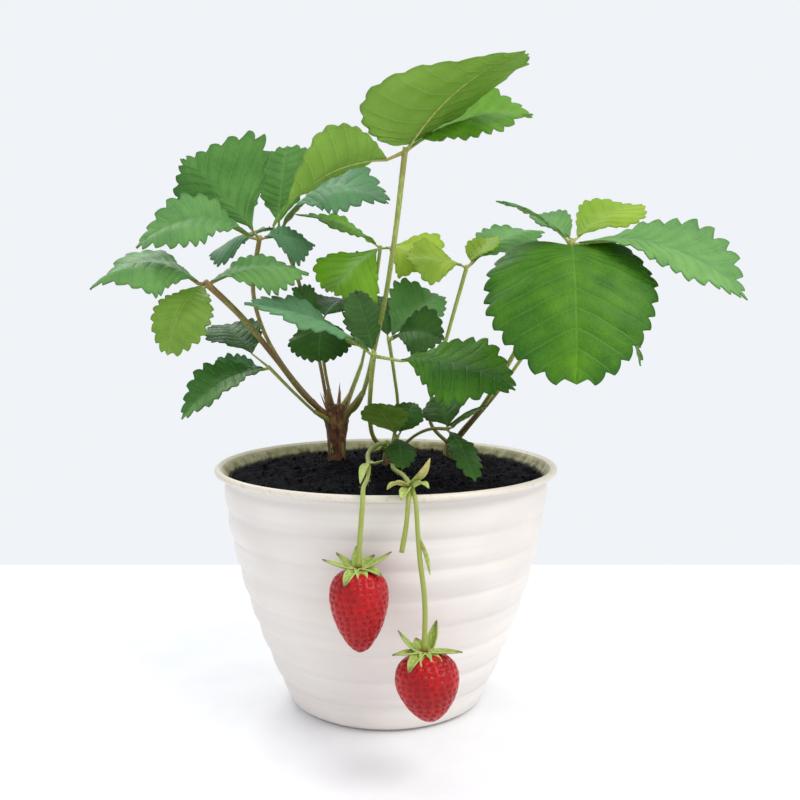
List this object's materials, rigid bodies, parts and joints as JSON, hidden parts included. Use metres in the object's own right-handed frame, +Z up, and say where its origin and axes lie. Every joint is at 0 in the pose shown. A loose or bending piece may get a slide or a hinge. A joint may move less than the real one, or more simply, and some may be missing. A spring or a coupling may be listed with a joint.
{
  "type": "potted_strawberry_plant",
  "caption": "Small potted strawberry plant with toothed three-part leaves and ripe red berries hanging over the rim of a ribbed white plastic pot",
  "frame": {"origin": "centre of the pot's flat bottom, which stands at z = 0", "axes": "+Z up along the pot's axis, -Y the front over which the berries hang, +X the plant's right as seen from the front"},
  "size_m": [0.3241, 0.2079, 0.3262],
  "materials": {
    "pot_plastic": "satin, moulded",
    "potting_soil": "rough, crumbly",
    "crown_bark": "dry, fibrous",
    "leaf_pale": "satin, veined, finely hairy",
    "leaf_rich": "satin, veined",
    "leaf_dark": "satin, veined",
    "leaf_grey_green": "satin, veined",
    "leaf_yellow_green": "thin, light shining through",
    "fruit_stem": "smooth, hairy",
    "calyx_green": "matt, hairy",
    "berry_red": "glossy, dimpled, with seeds"
  },
  "bodies": {
    "root": {"pot": "pot_plastic", "soil": "potting_soil", "crown_main": "crown_bark", "crown_branch": "crown_bark", "crown_side": "crown_bark", "leaf_tall": "leaf_pale", "leaf_right_front": "leaf_rich", "leaf_right_back": "leaf_pale", "leaf_yellow": "leaf_yellow_green", "leaf_bright": "leaf_yellow_green", "leaf_mid_right": "leaf_grey_green", "leaf_front": "leaf_dark", "leaf_left": "leaf_grey_green", "leaf_upper_left": "leaf_grey_green", "leaf_upper_mid": "leaf_grey_green", "leaf_low_left": "leaf_pale", "leaf_low_mid": "leaf_dark", "leaf_young": "leaf_dark", "leaf_low_right": "leaf_dark", "truss": "fruit_stem", "calyx_left": "calyx_green", "calyx_right": "calyx_green", "berry_left": "berry_red", "berry_right": "berry_red"}
  },
  "joints": []
}
